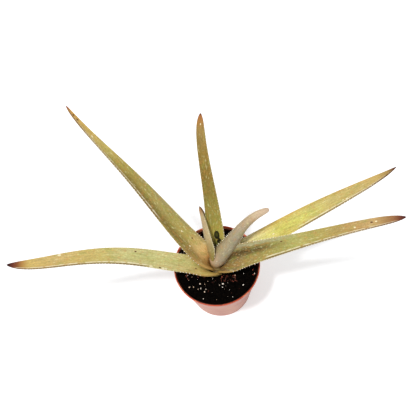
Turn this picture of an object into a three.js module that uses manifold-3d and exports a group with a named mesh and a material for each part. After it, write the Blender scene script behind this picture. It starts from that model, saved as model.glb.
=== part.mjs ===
// A young aloe growing in a round nursery pot.
// Units are millimetres, +Z is up, and the origin is the middle of the pot's flat base.
import * as THREE from "three";
import { mergeVertices } from "three/addons/utils/BufferGeometryUtils.js";
import Module from "manifold-3d";

const wasm = await Module();
wasm.setup();

// ---------------------------------------------------------------- driving dimensions

// Moulded pot: a thin tapered wall, a straight collar and a rolled lip.
const POT_HEIGHT = 95;
const POT_LIP_RADIUS = 60;
const POT_LIP_WIDTH = 2.6;
const POT_LIP_DEPTH = 1.4;
const POT_COLLAR_RADIUS = 59.2;
const POT_COLLAR_HEIGHT = 9;
const POT_SHOULDER_RADIUS = 57;
const POT_BASE_RADIUS = 45.7;
const POT_WALL = 1.4;
const POT_FLOOR = 2;
const POT_FOOT_ROUND = 1.2;
const POT_SEGMENTS = 56;

// Round drain holes stand in a ring round the solid middle of the floor.
const DRAIN_COUNT = 8;
const DRAIN_RADIUS = 3.5;
const DRAIN_RING_RADIUS = 34;
const DRAIN_SEGMENTS = 12;

// Potting soil fills the pot to a little below the lip: flat under the crown, lumpy further out.
const SOIL_TOP = 84;
const SOIL_RINGS = 9;
const SOIL_SEGMENTS = 48;
const SOIL_LUMP_HEIGHT = 1.1;
const SOIL_LUMP_SIZE = 3.4;
const SOIL_FLAT_RADIUS = 22;
const SOIL_EDGE_DROP = 1;

// The short stem stands in a plain hole in the soil and carries every leaf on its cone.
const STEM_AXIS = new THREE.Vector2(1.5, 4);
const STEM_BOTTOM = 60;
const STEM_TOP = 98;
const STEM_RADIUS = 13.2;
const STEM_ROOT_RADIUS = 9;
const STEM_ROOT_TAPER = 8;
const STEM_TIP_RADIUS = 3;
const STEM_SEGMENTS = 24;

// Pieces that touch keep this gap between them.
const CLEARANCE = 0.3;

// Every leaf is a loft through sections that stand a step apart, closer together at the foot.
const LEAF_STEP = 8.5;
const LEAF_STEP_GROWTH = 1.2;
const LEAF_SUBSTEPS = 8;
const LEAF_COLUMNS = 6;
const LEAF_EDGE = 0.8;
const TIP_SHARPNESS = 14;
const TIP_ROUNDING = 0.7;
const TIP_LAST_STATION = 0.985;

// The part of a leaf that clasps the stem stands upright and is thinner than the blade.
const SHEATH_RISE = 86;
const SHEATH_FLESH = 1.6;

// Both margins carry one pointed tooth a step, shorter towards the tip and leaning forward.
const TOOTH_HEIGHT = 1.4;
const TOOTH_BASE = 2.4;
const TOOTH_SHARE = 0.6;
const TOOTH_LEAN = 0.5;
const TOOTH_FADE = 0.5;

// One entry a leaf, from the outermost to the innermost. The sheath clasps the stem: how far its
// middle stands from the stem's axis, its own radius, the half angle that it wraps, the height of
// its foot and the length over which it opens out. The other lists are guide values from foot to
// tip: heading and rise of the midrib, roll about it, width over the margins, half angle of the
// channel, and flesh under the midrib. The pad is how much thicker the middle of the sheath is on
// its inside, where it fills the crown up to the next leaf.
const LEAVES = {
  leaf_left: {
    sheath: { reach: 19.5, radius: 16.5, wrap: 100, foot: 84.4, opens: 20 },
    length: 270,
    heading: [193, 140, 203, 171],
    rise: [28, 44, -19, 17],
    roll: [25, 6, 4],
    width: [24, 27, 18.5, 14],
    channel: [28, 20],
    flesh: [4.5, 3],
    pad: 3.6,
    colour: 0xc5b473,
  },
  leaf_upper_right: {
    sheath: { reach: 18.5, radius: 16.5, wrap: 80, foot: 84.4, opens: 20 },
    length: 260,
    heading: [5, 19, 3, -10],
    rise: [17, 20, 22, 59],
    roll: [-22, -11, 6],
    width: [22, 31.5, 24, 5.5],
    channel: [30, 20],
    flesh: [4.5, 3],
    pad: 1.5,
    colour: 0xd0be71,
  },
  leaf_lower_right: {
    sheath: { reach: 16.5, radius: 14.2, wrap: 100, foot: 84.4, opens: 22 },
    length: 249,
    heading: [-13, -10, -6, -17],
    rise: [35, 25, 33, 28],
    roll: [-42, -12, -11],
    width: [41, 24, 10, 12],
    channel: [35, 25],
    flesh: [4.5, 3],
    pad: 5,
    colour: 0xb6a468,
  },
  leaf_upper_left: {
    sheath: { reach: 14, radius: 11.8, wrap: 95, foot: 86, opens: 22 },
    length: 290,
    heading: [160, 100, 142, 124],
    rise: [64, 33, 9, 45],
    roll: [28, -1, -26],
    width: [34, 27.5, 12.5, 4.5],
    channel: [30, 20],
    flesh: [5, 3],
    pad: 2.6,
    colour: 0xa8924f,
  },
  leaf_back: {
    sheath: { reach: 12, radius: 10.5, wrap: 95, foot: 87, opens: 22 },
    length: 206,
    heading: [79, 85, 102, 74],
    rise: [46, 60, 58, 22],
    roll: [14, 7, 2],
    width: [31, 21, 11, 12.5],
    channel: [30, 20],
    flesh: [4.5, 3],
    pad: 1.4,
    colour: 0x96823f,
  },
  leaf_inner_right: {
    sheath: { reach: 7.5, radius: 6.8, wrap: 100, foot: 91, opens: 13 },
    length: 128,
    heading: [223, 188, 195, 191],
    rise: [198, 92, 100, 188],
    roll: [-21, -30, -37],
    width: [32, 20, 10, 8.5],
    channel: [50, 45],
    flesh: [6, 4.5],
    pad: 0,
    colour: 0xb5a480,
  },
  leaf_inner_left: {
    sheath: { reach: 5.5, radius: 5.5, wrap: 85, foot: 92, opens: 13 },
    length: 85,
    heading: [133, 81, 79, 105],
    rise: [35, 48, 52, 48],
    roll: [-58, -115, -66],
    width: [31, 34, 19, 9],
    channel: [70, 62],
    flesh: [3, 2.2],
    pad: 0,
    colour: 0x9a8859,
  },
};

const POT_COLOUR = 0xb9705e;
const SOIL_COLOUR = 0x1a1310;
const STEM_COLOUR = 0x9b8a5c;

// ---------------------------------------------------------------- small helpers

const { degToRad, lerp, smoothstep } = THREE.MathUtils;

// A smooth value at t from guide values, as on a Bezier curve.
function guided(values, t) {
  let row = values.slice();
  while (row.length > 1) {
    row = row.slice(1).map((value, i) => lerp(row[i], value, t));
  }
  return row[0];
}

function ringPoint(radius, height, i, count) {
  const angle = (i / count) * 2 * Math.PI;
  return new THREE.Vector3(radius * Math.cos(angle), radius * Math.sin(angle), height);
}

function toManifold(geometry) {
  const bare = geometry.clone();
  bare.deleteAttribute("normal");
  bare.deleteAttribute("uv");
  const merged = mergeVertices(bare, 1e-4);
  return new wasm.Manifold(new wasm.Mesh({
    numProp: 3,
    vertProperties: new Float32Array(merged.attributes.position.array),
    triVerts: new Uint32Array(merged.index.array),
  }));
}

function closedGeometry(positions, index) {
  const geometry = new THREE.BufferGeometry();
  geometry.setAttribute("position", new THREE.Float32BufferAttribute(positions, 3));
  geometry.setIndex(index);
  geometry.computeVertexNormals();
  return geometry;
}

function toGeometry(solid) {
  const { vertProperties, triVerts } = solid.getMesh();
  return closedGeometry(Array.from(vertProperties), Array.from(triVerts));
}

// The biggest body of a cut piece: loose scraps are dropped.
function largestBody(solid) {
  return solid.decompose().sort((a, b) => b.volume() - a.volume())[0];
}

// A solid turned about the Z axis from a profile of radius and height.
function turned(profile, segments) {
  const points = profile.map(([radius, height]) => new THREE.Vector2(radius, height));
  return new THREE.LatheGeometry(points, segments).rotateX(Math.PI / 2);
}

// Corners and faces of one closed body, gathered as it is built up.
class ClosedMesh {
  positions = [];

  index = [];

  corner(point) {
    return this.positions.push(point.x, point.y, point.z) / 3 - 1;
  }

  place(corner) {
    return new THREE.Vector3().fromArray(this.positions, 3 * corner);
  }

  // A face as a fan of triangles from its first corner, turned over if it is flipped.
  face(flipped, first, ...rest) {
    for (let i = 1; i < rest.length; i += 1) {
      this.index.push(first, ...(flipped ? [rest[i], rest[i - 1]] : [rest[i - 1], rest[i]]));
    }
  }

  solid() {
    return toManifold(closedGeometry(this.positions, this.index));
  }
}

function namedMesh(name, solid, colour, roughness) {
  const material = new THREE.MeshStandardMaterial({ color: colour, roughness, metalness: 0 });
  const mesh = new THREE.Mesh(toGeometry(solid), material);
  mesh.name = name;
  return mesh;
}

// ---------------------------------------------------------------- pot

const POT_SHOULDER_HEIGHT = POT_HEIGHT - POT_COLLAR_HEIGHT;

// Outer and inner radius of the tapered wall below the collar.
const wallOutside = (height) => (
  lerp(POT_BASE_RADIUS, POT_SHOULDER_RADIUS, height / POT_SHOULDER_HEIGHT)
);
const wallInside = (height) => wallOutside(height) - POT_WALL;

function potSolid() {
  const profile = [
    [0, 0],
    [POT_BASE_RADIUS - POT_FOOT_ROUND, 0],
    [wallOutside(POT_FOOT_ROUND), POT_FOOT_ROUND],
    [wallOutside(POT_SHOULDER_HEIGHT), POT_SHOULDER_HEIGHT - 1],
    [POT_COLLAR_RADIUS - 1, POT_SHOULDER_HEIGHT],
    [POT_COLLAR_RADIUS, POT_HEIGHT - 1.5 * POT_LIP_DEPTH],
    [POT_LIP_RADIUS, POT_HEIGHT - POT_LIP_DEPTH],
    [POT_LIP_RADIUS - POT_LIP_WIDTH / 8, POT_HEIGHT - POT_LIP_DEPTH / 4],
    [POT_LIP_RADIUS - POT_LIP_WIDTH / 2, POT_HEIGHT],
    [POT_LIP_RADIUS - POT_LIP_WIDTH, POT_HEIGHT - POT_LIP_DEPTH / 3],
    [wallInside(POT_SHOULDER_HEIGHT) + 1, POT_HEIGHT - 2 * POT_LIP_DEPTH],
    [wallInside(POT_SHOULDER_HEIGHT), POT_SHOULDER_HEIGHT],
    [wallInside(2 * POT_FLOOR), 2 * POT_FLOOR],
    [wallInside(POT_FLOOR) - POT_FOOT_ROUND, POT_FLOOR],
    [0, POT_FLOOR],
  ];
  let pot = toManifold(turned(profile, POT_SEGMENTS));
  for (let i = 0; i < DRAIN_COUNT; i += 1) {
    const hole = new THREE.CylinderGeometry(DRAIN_RADIUS, DRAIN_RADIUS, 3 * POT_FLOOR, DRAIN_SEGMENTS);
    hole.rotateX(Math.PI / 2);
    hole.translate(...ringPoint(DRAIN_RING_RADIUS, 0, i, DRAIN_COUNT).toArray());
    pot = pot.subtract(toManifold(hole));
  }
  return pot;
}

// ---------------------------------------------------------------- soil and stem

function soilHeight(x, y) {
  const fromStem = Math.hypot(x - STEM_AXIS.x, y - STEM_AXIS.y);
  const lumpy = smoothstep(fromStem, SOIL_FLAT_RADIUS, 1.5 * SOIL_FLAT_RADIUS);
  const u = x / SOIL_LUMP_SIZE;
  const v = y / SOIL_LUMP_SIZE;
  return SOIL_TOP + SOIL_LUMP_HEIGHT * lumpy * (Math.sin(u) * Math.cos(v) + Math.sin(2 * v - u) / 2);
}

// Rings of lumpy surface from the middle outwards, then the wall and the flat bottom.
function soilSolid() {
  const bottom = POT_FLOOR + CLEARANCE;
  const lowestEdge = SOIL_TOP - SOIL_EDGE_DROP - 2 * SOIL_LUMP_HEIGHT;
  const topRadius = wallInside(lowestEdge) - CLEARANCE;
  const bottomRadius = wallInside(bottom) - POT_FOOT_ROUND - CLEARANCE;
  const mesh = new ClosedMesh();
  const middle = mesh.corner(new THREE.Vector3(0, 0, soilHeight(0, 0)));
  const rings = [];
  for (let ring = 1; ring <= SOIL_RINGS; ring += 1) {
    rings.push(Array.from({ length: SOIL_SEGMENTS }, (_, i) => {
      const point = ringPoint((topRadius * ring) / SOIL_RINGS, 0, i, SOIL_SEGMENTS);
      const drop = ring === SOIL_RINGS ? SOIL_EDGE_DROP : 0;
      return mesh.corner(point.setZ(soilHeight(point.x, point.y) - drop));
    }));
  }
  rings.push(Array.from({ length: SOIL_SEGMENTS }, (_, i) => (
    mesh.corner(ringPoint(bottomRadius, bottom, i, SOIL_SEGMENTS))
  )));
  const under = mesh.corner(new THREE.Vector3(0, 0, bottom));
  for (let i = 0; i < SOIL_SEGMENTS; i += 1) {
    const next = (i + 1) % SOIL_SEGMENTS;
    mesh.face(false, middle, rings[0][i], rings[0][next]);
    for (let ring = 0; ring < SOIL_RINGS; ring += 1) {
      const [near, far] = [rings[ring], rings[ring + 1]];
      mesh.face(false, near[i], far[i], far[next], near[next]);
    }
    mesh.face(true, under, rings[SOIL_RINGS][i], rings[SOIL_RINGS][next]);
  }
  const hole = turned([
    [0, STEM_BOTTOM - CLEARANCE],
    [STEM_RADIUS + CLEARANCE, STEM_BOTTOM - CLEARANCE],
    [STEM_RADIUS + CLEARANCE, POT_HEIGHT],
    [0, POT_HEIGHT],
  ], STEM_SEGMENTS).translate(STEM_AXIS.x, STEM_AXIS.y, 0);
  return mesh.solid().subtract(toManifold(hole));
}

function stemSolid(grow = 0) {
  const profile = [
    [0, STEM_BOTTOM - grow],
    [STEM_ROOT_RADIUS + grow, STEM_BOTTOM - grow],
    [STEM_RADIUS + grow, STEM_BOTTOM + STEM_ROOT_TAPER],
    [STEM_RADIUS + grow, SOIL_TOP],
    [STEM_TIP_RADIUS + grow, STEM_TOP - grow],
    [0, STEM_TOP + grow],
  ];
  return toManifold(turned(profile, STEM_SEGMENTS).translate(STEM_AXIS.x, STEM_AXIS.y, 0));
}

// ---------------------------------------------------------------- leaves

// Directions of the leaf at t from its heading, rise and roll: along it, to its left, and out
// of its upper face. The sheath stands upright at the foot and hands over to the blade.
function leafDirections(leaf, t) {
  const sheath = Math.exp(-(((t * leaf.length) / leaf.sheath.opens) ** 2));
  const heading = degToRad(guided(leaf.heading, t));
  const rise = degToRad(lerp(guided(leaf.rise, t), SHEATH_RISE, sheath));
  const roll = degToRad(guided(leaf.roll, t) * (1 - sheath));
  const along = new THREE.Vector3(
    Math.cos(heading) * Math.cos(rise),
    Math.sin(heading) * Math.cos(rise),
    Math.sin(rise),
  );
  const level = new THREE.Vector3(-Math.sin(heading), Math.cos(heading), 0);
  const upright = along.clone().cross(level);
  const face = upright.clone().multiplyScalar(Math.cos(roll)).addScaledVector(level, Math.sin(roll));
  const side = level.clone().multiplyScalar(Math.cos(roll)).addScaledVector(upright, -Math.sin(roll));
  return { sheath, along, face, side };
}

// Places along the leaf, from 0 at the foot to 1 at the point of the tip.
function leafPlaces(leaf) {
  const steps = Math.round(leaf.length / LEAF_STEP);
  const places = Array.from({ length: steps }, (_, k) => (k / steps) ** LEAF_STEP_GROWTH);
  return [...places, TIP_LAST_STATION, 1];
}

// The midrib's path and the size of the section at each place. The path is followed in
// short strides from the foot, which stands on the sheath's circle.
function leafStations(leaf) {
  const wrap = degToRad(leaf.sheath.wrap);
  const heading = degToRad(leaf.heading[0]);
  const point = new THREE.Vector3(Math.cos(heading), Math.sin(heading), 0)
    .multiplyScalar(leaf.sheath.reach)
    .add(new THREE.Vector3(STEM_AXIS.x, STEM_AXIS.y, leaf.sheath.foot));
  let last = 0;
  return leafPlaces(leaf).map((t) => {
    for (let i = 0; i < LEAF_SUBSTEPS; i += 1) {
      const middle = lerp(last, t, (i + 0.5) / LEAF_SUBSTEPS);
      const stride = ((t - last) * leaf.length) / LEAF_SUBSTEPS;
      point.addScaledVector(leafDirections(leaf, middle).along, stride);
    }
    last = t;
    const directions = leafDirections(leaf, t);
    const { sheath } = directions;
    const taper = (1 - t ** TIP_SHARPNESS) ** TIP_ROUNDING;
    return {
      t,
      point: point.clone(),
      ...directions,
      width: lerp(guided(leaf.width, t), 2 * leaf.sheath.radius * wrap, sheath) * taper,
      halfAngle: lerp(degToRad(guided(leaf.channel, t)), wrap, sheath),
      flesh: lerp(guided(leaf.flesh, t), SHEATH_FLESH, sheath) * taper,
      pad: leaf.pad * sheath,
    };
  });
}

// One point of a section, which follows an arc: across runs from -1 to 1 over the channelled
// face, and under is 0 on that face and 1 on the convex back.
function sectionPoint(station, across, under, grow) {
  const halfWidth = station.width / 2;
  const radius = halfWidth / station.halfAngle;
  const angle = (across * (halfWidth + grow)) / radius;
  const fullness = Math.sqrt(1 - across * across);
  const flesh = LEAF_EDGE + station.flesh * fullness;
  const reach = under ? radius + flesh + grow : radius - station.pad * fullness - grow;
  return station.point.clone()
    .addScaledVector(station.side, reach * Math.sin(angle))
    .addScaledVector(station.face, radius - reach * Math.cos(angle));
}

// The corners of a section: a row over the face and a row over the back.
function addSection(mesh, station, grow) {
  return [0, 1].map((under) => (
    Array.from({ length: LEAF_COLUMNS + 1 }, (_, column) => (
      mesh.corner(sectionPoint(station, (2 * column) / LEAF_COLUMNS - 1, under, grow))
    ))
  ));
}

// The strip of one margin between two sections, with a pyramid tooth in its middle.
function addToothedMargin(mesh, station, section, nextSection, margin, grow) {
  const right = margin === 0;
  const inner = right ? 1 : LEAF_COLUMNS - 1;
  const [face, back] = section;
  const [nextFace, nextBack] = nextSection;
  const near = [face[margin], back[margin]].map((corner) => mesh.place(corner));
  const far = [nextFace[margin], nextBack[margin]].map((corner) => mesh.place(corner));
  const forward = far[0].clone().sub(near[0]);
  const span = forward.length();
  const reach = Math.min((TOOTH_BASE + 2 * grow) / span, TOOTH_SHARE) / 2;
  const [[faceNear, faceFar], [backNear, backFar]] = [0, 1].map((under) => (
    [0.5 - reach, 0.5 + reach].map((f) => mesh.corner(near[under].clone().lerp(far[under], f)))
  ));
  const height = TOOTH_HEIGHT * (1 - TOOTH_FADE * station.t) + grow;
  const middle = [...near, ...far].reduce((sum, p) => sum.addScaledVector(p, 0.25), new THREE.Vector3());
  const apex = mesh.corner(middle
    .addScaledVector(station.side, (right ? -1 : 1) * height * Math.cos(station.halfAngle))
    .addScaledVector(station.face, height * Math.sin(station.halfAngle))
    .addScaledVector(forward, (TOOTH_LEAN * height) / span));
  mesh.face(right, face[inner], nextFace[inner], nextFace[margin], faceFar, faceNear, face[margin]);
  mesh.face(!right, back[inner], nextBack[inner], nextBack[margin], backFar, backNear, back[margin]);
  mesh.face(right, face[margin], faceNear, backNear, back[margin]);
  mesh.face(right, faceFar, nextFace[margin], nextBack[margin], backFar);
  mesh.face(right, apex, faceNear, faceFar);
  mesh.face(right, apex, faceFar, backFar);
  mesh.face(right, apex, backFar, backNear);
  mesh.face(right, apex, backNear, faceNear);
}

// A closed loft through the sections of a leaf. Grown, it is the room that the leaf takes up
// with the clearance round it, which also reaches below the foot.
function leafSolid(leaf, grow = 0) {
  const stations = leafStations(leaf);
  const tip = stations.pop();
  stations[0].point.addScaledVector(stations[0].along, -4 * grow);
  const mesh = new ClosedMesh();
  const sections = stations.map((station) => addSection(mesh, station, grow));
  const point = mesh.corner(tip.point.addScaledVector(tip.along, grow));
  const [footFace, footBack] = sections[0];
  const [tipFace, tipBack] = sections[sections.length - 1];
  for (let j = 0; j < LEAF_COLUMNS; j += 1) {
    mesh.face(false, footFace[j], footFace[j + 1], footBack[j + 1], footBack[j]);
    mesh.face(true, tipFace[j], tipFace[j + 1], point);
    mesh.face(false, tipBack[j], tipBack[j + 1], point);
  }
  mesh.face(false, tipFace[0], tipBack[0], point);
  mesh.face(true, tipFace[LEAF_COLUMNS], tipBack[LEAF_COLUMNS], point);
  for (let k = 0; k < sections.length - 1; k += 1) {
    const [face, back] = sections[k];
    const [nextFace, nextBack] = sections[k + 1];
    for (let j = 1; j < LEAF_COLUMNS - 1; j += 1) {
      mesh.face(true, face[j], face[j + 1], nextFace[j + 1], nextFace[j]);
      mesh.face(false, back[j], back[j + 1], nextBack[j + 1], nextBack[j]);
    }
    addToothedMargin(mesh, stations[k], sections[k], sections[k + 1], 0, grow);
    addToothedMargin(mesh, stations[k], sections[k], sections[k + 1], LEAF_COLUMNS, grow);
  }
  return mesh.solid();
}

// ---------------------------------------------------------------- the whole plant

// The leaves are cut clear of each other from the innermost outwards, as their sheaths nest.
export function buildPlant() {
  const plant = new THREE.Group();
  plant.add(namedMesh("pot", potSolid(), POT_COLOUR, 0.45));
  plant.add(namedMesh("soil", soilSolid(), SOIL_COLOUR, 0.95));
  plant.add(namedMesh("stem", stemSolid(), STEM_COLOUR, 0.7));
  let inside = stemSolid(CLEARANCE);
  for (const [name, leaf] of Object.entries(LEAVES).reverse()) {
    const trimmed = largestBody(leafSolid(leaf).subtract(inside));
    plant.add(namedMesh(name, trimmed, leaf.colour, 0.55));
    inside = inside.add(leafSolid(leaf, CLEARANCE));
  }
  return plant;
}

export default buildPlant();
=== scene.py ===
import math
import random

import bpy
from mathutils import Euler, Matrix, Vector, noise


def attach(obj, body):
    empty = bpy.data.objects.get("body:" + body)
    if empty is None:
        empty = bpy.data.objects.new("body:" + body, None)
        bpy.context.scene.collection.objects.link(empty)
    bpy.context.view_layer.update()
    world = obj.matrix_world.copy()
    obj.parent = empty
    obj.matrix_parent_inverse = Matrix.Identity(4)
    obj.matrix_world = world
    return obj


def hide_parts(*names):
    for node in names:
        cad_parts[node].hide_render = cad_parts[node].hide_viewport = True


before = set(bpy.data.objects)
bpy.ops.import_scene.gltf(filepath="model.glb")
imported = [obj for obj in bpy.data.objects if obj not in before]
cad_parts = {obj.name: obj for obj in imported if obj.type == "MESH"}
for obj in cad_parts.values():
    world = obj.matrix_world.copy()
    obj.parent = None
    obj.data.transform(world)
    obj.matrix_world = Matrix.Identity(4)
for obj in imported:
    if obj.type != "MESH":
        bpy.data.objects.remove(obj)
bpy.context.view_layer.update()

# A young aloe in a round nursery pot. Sizes are millimetres and angles are degrees, and MM brings
# them to metres where a mesh or a material is made. +Z is up, and the origin is under the middle of
# the pot.

MM = 0.001

# ------------------------------------------------------------------ pot sizes

POT_HEIGHT = 95
POT_LIP_RADIUS = 60
POT_LIP_WIDTH = 2.6
POT_LIP_DEPTH = 1.4
POT_COLLAR_RADIUS = 59.2
POT_SHOULDER_HEIGHT = 86
POT_SHOULDER_RADIUS = 57
POT_BASE_RADIUS = 45.7
POT_WALL = 1.4
POT_FLOOR = 2
POT_FOOT_ROUND = 1.2
POT_STEPS = 128

# The rings between the pot's main edges, each by how far it stands out and up: from the wall's
# shoulder, from the shoulder at the collar's radius, and from the shoulder inside.
WALL_RINGS = (30, 60)
WALL_RING_INSIDE = 45
SHOULDER_RINGS = ((-0.1, -1.2), (0.2, -0.6))
COLLAR_RINGS = ((-1.2, -0.1), (-0.8, 0.4), (-0.4, 4))
COLLAR_DRAFT = 0.2
LIP_STEP_INSIDE = 1
SHOULDER_RINGS_INSIDE = ((0.2, 0.5), (0, -1))

DRAIN_COUNT = 8
DRAIN_RADIUS = 3.5
DRAIN_RING_RADIUS = 34

# Where the pot's finish changes: the side with painted shade, from where to where to the right, the
# back, from where to where, the lip's colour below its top, and the nearly black band inside, from
# what height, out to what radius, and up to where the lip begins.
PAINTED_SHADE_SIDE = (4, 46)
BACK = (10, 40)
LIP_COLOUR = (1.9, 1.1)
INSIDE_DARK_FOOT = 87
INSIDE_DARK_RADIUS = 57.6
INSIDE_DARK_TOP = 93

# ------------------------------------------------------------------ soil and stem sizes

SOIL_TOP = 84
SOIL_RINGS = 36
SOIL_STEPS = 144
SOIL_LUMP_HEIGHT = 1.1
SOIL_LUMP_SIZE = 3.4
SOIL_FLAT_RADIUS = 22
SOIL_RIM = 55.7
SOIL_EDGE_DROP = 1
SOIL_BANK = 5
SOIL_BANK_REACH = (38, 54)
CLOD_SIZE = 4.2
CLOD_HEIGHT = 1.7
CLOD_SUNK = 0.45
CRUMB_SIZE = 0.9
CRUMB_HEIGHT = 0.28
FIRM_RING = 1
FIRM_FADE = 8

# Loose bits lie within this radius, clear of the crown, and those that are strewn by chance keep
# out of the front where the photograph shows each one.
LITTER_RADIUS = 53.5
CROWN_RADIUS = 23
FRONT_SHOWN = 12
BIT_RISE = 0.2

# Grains of perlite and chips of bark that the photograph shows on the soil, each by its column and
# row in the photograph and its size, and the columns and rows of a patch of fibres.
PERLITE_SEEN = (
    (200.2, 284.1, 3.2), (189.4, 287.5, 2.8), (201.1, 288.5, 3.2), (204.6, 292, 3.2),
    (219.5, 285.2, 2.6), (222.9, 284.1, 3.4), (235.1, 275.4, 3.0), (243.4, 285, 2.8),
    (204.8, 284.3, 1.9), (208, 281.6, 2.1), (198.2, 289.4, 1.8), (205.9, 289.4, 1.7),
    (222.6, 287.3, 2.0), (212.7, 278.6, 1.8), (254.6, 273.6, 2.4), (193.6, 287.3, 2.6),
    (203.4, 298.9, 2.2), (188.8, 280.4, 1.5), (192, 277.2, 1.3), (197.4, 279.5, 1.3),
    (229.5, 290, 1.5), (243.7, 273.6, 2.0), (232.7, 296.9, 1.5), (227.6, 296.9, 1.3),
    (216.5, 299.6, 1.3),
)
BARK_SEEN = ((232.9, 281.3, 4.0), (253.4, 274.9, 3.6), (252.8, 269.9, 3.4), (204.3, 277.7, 4.6),
             (213, 282.7, 4.0))
BARK_PATCH = (221, 236, 275, 281)

STEM_AXIS = Vector((1.5, 4, 0))
STEM_BOTTOM = 60
STEM_TOP = 98
STEM_RADIUS = 13.2
STEM_ROOT_RADIUS = 9
STEM_ROOT_TAPER = 8
STEM_TIP_RADIUS = 3

# The leaf scars above the soil: how many there are, how far below the soil's top the first begins,
# and how deep and wide each is.
STEM_SCARS = 7
STEM_SCAR_BELOW = 0.6
STEM_SCAR_LIP = 0.05
STEM_SCAR_DEPTH = 0.5
STEM_SCAR_WIDTH = 0.25

CLEARANCE = 0.3

# ------------------------------------------------------------------ camera and light

# The camera stands where the outlines of the pot fall on those in the photograph.
CAMERA_PLACE = Vector((2.39, -244.56, 672.67)) * MM
CAMERA_PITCH = math.radians(59.93)
CAMERA_ROLL = math.radians(-10.47)
FOCAL_PIXELS = 450
PHOTO_PIXELS = 416
SENSOR_WIDTH = 36
CLIP_START = 10 * MM

SUN_TRAVEL = Vector((0.317, 0.175, -1))
SUN_POWER = 2.1
SUN_SPREAD = math.radians(7)
SKY_POWER = 0.6
FLOOR_SIZE = 6000 * MM
FLOOR_GLOW = 0.45

# ------------------------------------------------------------------ palette

# The darkest clay is painted shade for the pot's side away from the light.
CLAY_PALE, CLAY, CLAY_SHADE, INSIDE_DARK = "c68c6e", "aa6450", "8c4034", "120a07"
# The palest lip orange is a painted highlight.
COLLAR_RED, LIP_ORANGE, LIP_HIGHLIGHT, LIP_GRIME = "b4523c", "c04a2a", "e08a66", "5a2418"
SOIL_BROWN, SOIL_BLACK, SOIL_FIBRE = "0d0906", "020101", "38261a"
PERLITE_WHITE, PERLITE_TAN, PERLITE_PIT = "fff6e8", "e8c4a2", "8c7460"
BARK_RED, BARK_DARK, BARK_FIBRE = "9c4a36", "4a2018", "b87a5a"
CLOD_BROWN, CLOD_BLACK, CLOD_FIBRE = "120b08", "030202", "3c2a1e"
STEM_TAN, STEM_BROWN = "96804a", "66522c"
LEAF_GREEN, LEAF_RUST, LEAF_PALE, LEAF_BACK = "8c9440", "c08c4c", "e4dca4", "8f8b62"
LEAF_DOT, FLECK, SCAR = "f0e8cc", "e9deb4", "5e3a1c"
# Painted shadow on the back leaf: the edge and fill of the dark oval, and small dark bits.
PAINTED_SHADOW_EDGE, PAINTED_SHADOW, PAINTED_SHADOW_BIT = "060401", "404214", "1d170a"
SEAM_PALE, SEAM_BROWN, RIM_BROWN, RIM_PALE = "efe3c4", "65421a", "a4854a", "d8cba2"
TOOTH_TAN, TOOTH_WHITE, TOOTH_BROWN = "ded0aa", "f4eddb", "5a3520"
PAPER, PAPER_CLOUD = "dcdddf", "d9dadc"

# ------------------------------------------------------------------ leaf sizes and finish

LEAF_STATIONS = 120
LEAF_COLUMNS = 16
LEAF_STRIDES = 600
LEAF_EDGE = 0.8
SHEATH_RISE = 86
SHEATH_FLESH = 1.6

# How much closer the stations stand at the foot and the tip than in the middle, the powers by which
# wrinkles fade at the margins and the tip, and how far apart the paint sees the face and the back.
STATION_CROWDING = 0.6
MARGIN_FADE = 8
TIP_FADE = 6
BACK_OFFSET = 20

# Shallow grooves along a leaf and slow swells: how long they run, how many there are over half the
# leaf, and how high they stand.
GROOVE_RUN, GROOVE_COUNT, GROOVE_HEIGHT = 45, 5, 0.22
SWELL_RUN, SWELL_COUNT, SWELL_HEIGHT = 16, 1.2, 0.2

# A tooth a unit high: its base, the waist where its hook begins, the height and the lean there, and
# how far the hook reaches from it.
TOOTH_BASE = 1.15
TOOTH_WAIST = 0.12
TOOTH_SHANK = 0.6
TOOTH_LEAN = 0.12
TOOTH_HOOK = (0.3, 0, 0.4)

# Teeth along a margin: chance in their sizes and steps, how deep they stand in the skin, the length
# that stays bare at the tip, and the length before it over which they grow smaller.
TOOTH_SIZES = (0.75, 1.1)
TOOTH_STEPS = (0.8, 1.25)
TOOTH_SINK = 0.25
TOOTH_BARE = 5
TOOTH_DWINDLE = 25

# The young leaves show their backs, and their skin is more even.
YOUNG_LEAVES = ("leaf_inner_right", "leaf_inner_left")
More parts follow.
